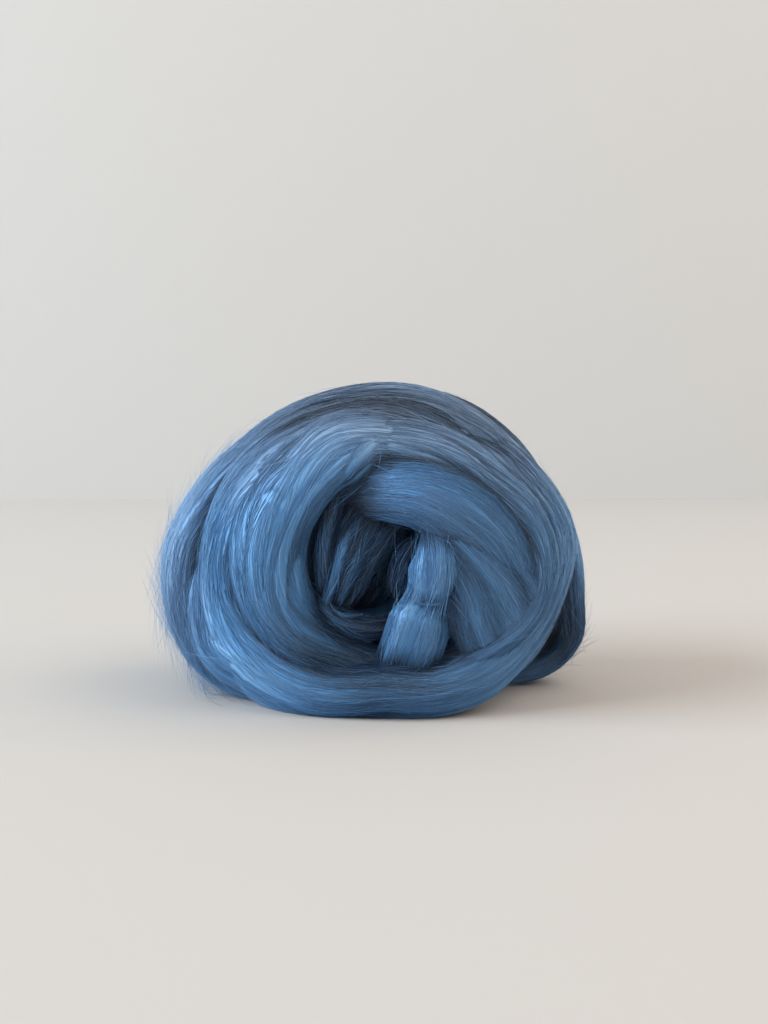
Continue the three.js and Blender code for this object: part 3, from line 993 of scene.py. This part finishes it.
# %% [markdown]
# ## Fibres combed over the slivers
# A single viscose fibre is finer than a hair, so each tube here stands for a small bundle. It starts at a
# bare spot of a sliver and follows its run, drifting with its lock, lies low on the surface and sinks into
# it at both ends. Hair curves would be quicker to place, but they have no mesh to export, so each one is a
# closed three-sided tube. Its streaks start at a random place of the pattern, so no two look alike.

# %% Fibre tubes
FIBRE_CROWN = 0.8
FIBRE_TIP = 0.25
FLOOR_GAP = 0.15
SHADE_SPREAD = 0.08
DARKEST_SHARE = 0.4
PATTERN_SPREAD = 900
AROUND_OF_HALF = 4


def low_tubes(paths, ups, half, crown):
    """Ring corners = path + side * half, path + lift * crown and path - side * half, narrow at the tips."""
    run = unit(np.gradient(paths, axis=1))
    side = unit(np.cross(ups, run))
    lift = np.cross(run, side)
    share = np.linspace(0, 1, paths.shape[1])[None, :, None]
    narrow = np.minimum(1, 4 * share * (1 - share) + FIBRE_TIP)
    wide, high = half[:, None, None] * narrow, crown[:, None, None] * narrow
    rings = np.stack([paths + side * wide, paths + lift * high, paths - side * wide], axis=2)
    return rings[:, 1:-1], paths[:, [0, -1]]


def fibre_piece(name, path, up, tone, length, widths, rng):
    """One piece of closed tubes on these paths, each with its own width and shade."""
    count = len(path)
    half = np.exp(rng.uniform(*np.log(widths), count)) / 2
    path[..., 2] = np.maximum(path[..., 2], FLOOR_GAP)
    rings, tips = low_tubes(path, up, half, half * FIBRE_CROWN)
    corners = rings.shape[2]
    shade = np.clip(tone + rng.normal(size=(count, 1)) * SHADE_SPREAD, DARKEST_SHARE * tone, 1)
    shade = np.repeat(shade[:, 1:-1, None], corners, axis=2)
    along = np.linspace(0, 1, path.shape[1])[None] * length[:, None]
    along = along + rng.uniform(0, PATTERN_SPREAD, (count, 1))
    around = np.linspace(0, 1, corners + 1)[None] * half[:, None] * AROUND_OF_HALF
    around = around + rng.uniform(0, PATTERN_SPREAD, (count, 1))
    tube_mesh(name, rings, tips, shade, along, around, fibre_finish)


print("a fibre's crown is", FIBRE_CROWN, "of its half width")

# %% Combed fibres
FIBRE_RINGS = 6
GIRTH_OF_HALF_WIDTH = 3.4
MM2_IN_CM2 = 100
DRIFT, DRIFT_RATES = 1.5, (0.012, 0.03)
STRAY_LENGTH = 10
END_SINK = 0.35


def bare_spots(sliver, per_cm2, rng):
    """Rows and columns of random spots on a sliver, so many to a square centimetre, less covered ones."""
    area = (sliver.half_width * GIRTH_OF_HALF_WIDTH * sliver.step).sum() / MM2_IN_CM2
    count = int(area * per_cm2)
    row = rng.random(count) * (len(sliver.along) - 1)
    column = rng.random(count) * len(sliver.angle) * OUTER_SHARE
    bare = ~covered(lookup(sliver.surface, row, column), sliver, row)
    return row[bare], column[bare]


def comb(sliver, per_cm2, rng, lengths, stray):
    """Paths on a sliver: row = start + length * t, column = start + drift of its lock + stray * t.

    Stray is in columns for each STRAY_LENGTH millimetres of fibre.
    """
    start, column = bare_spots(sliver, per_cm2, rng)
    t = np.linspace(-0.5, 0.5, FIBRE_RINGS + 2)[None]
    length = rng.uniform(*lengths, len(start))[:, None]
    row = start[:, None] + length * t / sliver.step
    drift = ripples(row * sliver.step, column[:, None], rng, *DRIFT_RATES)
    drift = drift - drift[:, [FIBRE_RINGS // 2 + 1]]
    veer = rng.normal(size=(len(start), 1)) * stray
    path_column = column[:, None] + DRIFT * drift + veer * t * length / STRAY_LENGTH
    path = lookup(sliver.surface, row, path_column)
    up = unit(lookup(sliver.normal, row, path_column))
    tone = lookup(sliver.tone[..., None], row, path_column)[..., 0]
    return path, up, tone, length[:, 0]


def combed_piece(name, group, per_cm2, widths, lengths, stray, rise, seed):
    """The combed fibres of several slivers: height over the surface = rise * (1 - t^4) - sink * t^8 + sag.

    The sag, an eighth of the bend between three points of a path, keeps straight stretches clear of round
    ground.
    """
    rng = np.random.default_rng(seed)
    parts = [comb(sliver, per_cm2, rng, lengths, stray) for sliver in group]
    path, up, tone, length = (np.concatenate(column) for column in zip(*parts))
    t = np.linspace(-1, 1, path.shape[1])[None]
    bend = path[:, 2:] - 2 * path[:, 1:-1] + path[:, :-2]
    sag = np.clip(-(bend * up[:, 1:-1]).sum(axis=2) / 8, 0, 1)
    lift = rng.uniform(*rise, (len(path), 1)) * (1 - t**4) - END_SINK * t**8
    lift = lift + np.pad(sag, ((0, 0), (1, 1)), mode="edge")
    fibre_piece(name, path + up * lift[..., None], up, tone, length, widths, rng)


by_name = {sliver.name: sliver for sliver in slivers}
GROUPS = {
    "behind": (10.5, ["rim_back", "back_outer", "back_inner"]),
    "rims": (16, ["rim_middle", "rim_low"]),
    "front": (18, ["rim_front", "face_outer", "face_inner", "face_sheet"]),
    "eye": (24, ["fan_upper", *LOCKS]),
}
for seed, (group_name, (density, names)) in enumerate(GROUPS.items(), start=300):
    combed_piece(
        "fibres_" + group_name, [by_name[name] for name in names], density,
        widths=(0.1, 0.3), lengths=(26, 60), stray=1.1, rise=(0.0, 0.3), seed=seed,
    )

STRANDED = [
    "eye_left", "eye_back", "eye_across_upper", "eye_across_middle", "eye_across_lower",
    "eye_curl", "eye_nub", "eye_deep",
]
combed_piece(
    "eye_strands", [by_name[name] for name in STRANDED], 18,
    widths=(0.22, 0.6), lengths=(12, 26), stray=4.0, rise=(0.1, 1.4), seed=310,
)

# %% [markdown]
# ## Loose fibres
# Combed top is not twisted, so some fibres work loose. They cross the others at an angle, and at the edge
# of the ball they make a soft halo, which is thickest at the left. Each leaves the surface along its own
# heading and falls away less than the ball curves, so it stands off a little more the longer it is.

# %% Loose fibres
BALL_RADIUS = 55
CURL_LENGTH = 260
ROOT_SINK = 0.2
STAND_OFF = 11
LOOSE_RINGS = 5
LEAST_TONE, LOOSE_LIFT = 0.3, 0.1
HALO_LEFT, HALO_ELSEWHERE = -40, 0.45
WISPS_LEFT = -71


def loose_roots(group, per_cm2, rng):
    """Root, up, run and tone of loose fibres at bare spots, half of which run back along the sliver."""
    parts = []
    for sliver in group:
        row, column = bare_spots(sliver, per_cm2, rng)
        root = lookup(sliver.surface, row, column)
        run = sliver.run[row.astype(int)] * rng.choice([-1, 1], len(row))[:, None]
        tone = lookup(sliver.tone[..., None], row, column)
        parts.append((root, unit(lookup(sliver.normal, row, column)), run, tone))
    return [np.concatenate(column) for column in zip(*parts)]


def loose_piece(name, group, per_cm2, widths, lengths, swing, follow, leave, keep, seed):
    """Path = root + heading * d + up * rise, with d = length * t and a sideways curl of d squared.

    The rise is leave * d - follow * d squared / (2 * radius). keep gives each root's chance to stay.
    """
    rng = np.random.default_rng(seed)
    root, up, run, tone = loose_roots(group, per_cm2, rng)
    kept = rng.random(len(root)) < keep(root)
    root, up, run, tone = root[kept], up[kept], run[kept], tone[kept]
    count = len(root)
    turn = np.radians(rng.normal(size=(count, 1)) * swing)
    heading = unit(run * np.cos(turn) + np.cross(up, run) * np.sin(turn))
    length = rng.uniform(*lengths, count)
    d = length[:, None] * np.linspace(0, 1, LOOSE_RINGS + 2)[None]
    rise = rng.uniform(*leave, (count, 1)) * d
    rise = rise - rng.uniform(*follow, (count, 1)) * d**2 / (2 * BALL_RADIUS)
    curl = rng.normal(size=(count, 1)) * d**2 / CURL_LENGTH
    path = root[:, None] + heading[:, None] * d[..., None] + up[:, None] * (rise - ROOT_SINK)[..., None]
    path = path + np.cross(up, heading)[:, None] * curl[..., None]
    low, high = np.array(cad_box) / MM
    inside = ((path > low - STAND_OFF) & (path < high + STAND_OFF)).all(axis=(1, 2))
    path, up, tone, length = path[inside], up[inside], tone[inside], length[inside]
    up = np.repeat(up[:, None], path.shape[1], axis=1)
    tone = np.repeat(np.maximum(tone, LEAST_TONE) + LOOSE_LIFT, path.shape[1], axis=1)
    fibre_piece(name, path, up, tone, length, widths, rng)


loose_piece(
    "crossing_fibres", slivers, 2.6,
    widths=(0.08, 0.16), lengths=(8, 26), swing=14, follow=(0.9, 1.1), leave=(0.0, 0.06),
    keep=lambda root: 1.0, seed=401,
)
loose_piece(
    "halo_fibres", slivers, 5.0,
    widths=(0.07, 0.12), lengths=(6, 18), swing=18, follow=(0.45, 0.95), leave=(0.0, 0.12),
    keep=lambda root: np.where(root[:, 0] < HALO_LEFT, 1.0, HALO_ELSEWHERE), seed=402,
)
loose_piece(
    "wisps_left", [by_name[name] for name in ("rim_back", "rim_middle", "rim_low")], 15.0,
    widths=(0.09, 0.17), lengths=(20, 44), swing=6, follow=(0.4, 0.85), leave=(0.02, 0.12),
    keep=lambda root: np.where(root[:, 0] < WISPS_LEFT, 1.0, 0.0), seed=403,
)

# %% [markdown]
# ## Floor, backdrop and light
# The ball lies on a pale floor before a pale wall, in soft daylight from the left. A picture of a room
# could light it, but then the script would need an image. Two area lights and an even sky do as well: a
# large cool one on the left, whose soft glints show which way the fibres run, and a weak warm one high on
# the right. The wall is no wider than the camera needs, so it stays out of the way of a look from the side.

# %% Stage
FLOOR_RADIUS, FLOOR_CORNERS = 1.6, 96
WALL_HALF, WALL_Y, WALL_HEIGHT = 1.46, 0.645, 1
FLOOR_PAINT = (0.452, 0.466, 0.48, 1)
WALL_PAINT = (0.532, 0.552, 0.571, 1)
MATT = 0.85


def stage_plane(name, corners, colour):
    """A flat sheet of one matt colour, with one face through its corners."""
    mesh = bpy.data.meshes.new(name)
    mesh.from_pydata(corners, [], [range(len(corners))])
    material = bpy.data.materials.new(name + "_paint")
    material.use_nodes = True
    principled = material.node_tree.nodes["Principled BSDF"]
    principled.inputs["Base Color"].default_value = colour
    principled.inputs["Roughness"].default_value = MATT
    mesh.materials.append(material)
    sheet = bpy.data.objects.new(name, mesh)
    bpy.context.scene.collection.objects.link(sheet)


turn = tau * np.arange(FLOOR_CORNERS) / FLOOR_CORNERS
floor_edge = FLOOR_RADIUS * np.stack([np.cos(turn), np.sin(turn), 0 * turn], axis=1)
wall_edge = [
    (-WALL_HALF, WALL_Y, 0),
    (WALL_HALF, WALL_Y, 0),
    (WALL_HALF, WALL_Y, WALL_HEIGHT),
    (-WALL_HALF, WALL_Y, WALL_HEIGHT),
]
stage_plane("pale_floor", floor_edge.tolist(), FLOOR_PAINT)
stage_plane("pale_wall", wall_edge, WALL_PAINT)
print("stage: pale_floor and pale_wall")

# %% Light
BALL_HEART = (0, 0, 0.06)
SKY_COLOUR, SKY_STRENGTH = (1.0, 0.88, 0.77, 1), 0.74


def soft_light(name, place, size, power, colour):
    """A square area light that looks at the ball."""
    data = bpy.data.lights.new(name, "AREA")
    data.size, data.energy, data.color = size, power, colour
    light = bpy.data.objects.new(name, data)
    light.location = place
    light.rotation_euler = (Vector(BALL_HEART) - Vector(place)).to_track_quat("-Z", "Y").to_euler()
    bpy.context.scene.collection.objects.link(light)


soft_light("window_left", place=(-2.5, -0.6, 1.25), size=2.0, power=107, colour=(0.92, 0.98, 1.0))
soft_light("ceiling", place=(1.3, 0.0, 1.3), size=1.6, power=21, colour=(1.0, 0.82, 0.66))
world = bpy.data.worlds.new("soft_room")
world.use_nodes = True
sky = world.node_tree.nodes["Background"]
sky.inputs["Color"].default_value = SKY_COLOUR
sky.inputs["Strength"].default_value = SKY_STRENGTH
bpy.context.scene.world = world
bpy.context.scene.view_settings.view_transform = "Standard"
print("light: a window, a ceiling and an even sky")

# %% [markdown]
# ## The camera
# The photograph was taken from close by, almost level and a little from above, so the near turns look
# larger than the far ones. A long lens from further off would flatten that. The lens, place and pitch
# follow from how large the ball stands in the frame and from where it touches the floor.

# %% Camera
LENS_MM, SENSOR_MM = 56, 36
CAMERA_PLACE = (0.004, -0.637, 0.152)
LOOK_DOWN = 7.2

camera_data = bpy.data.cameras.new("camera")
camera_data.lens = LENS_MM
camera_data.sensor_width = SENSOR_MM
camera = bpy.data.objects.new("camera", camera_data)
camera.location = CAMERA_PLACE
camera.rotation_euler = (radians(90 - LOOK_DOWN), 0, 0)
bpy.context.scene.collection.objects.link(camera)
bpy.context.scene.camera = camera
print("camera at", CAMERA_PLACE)
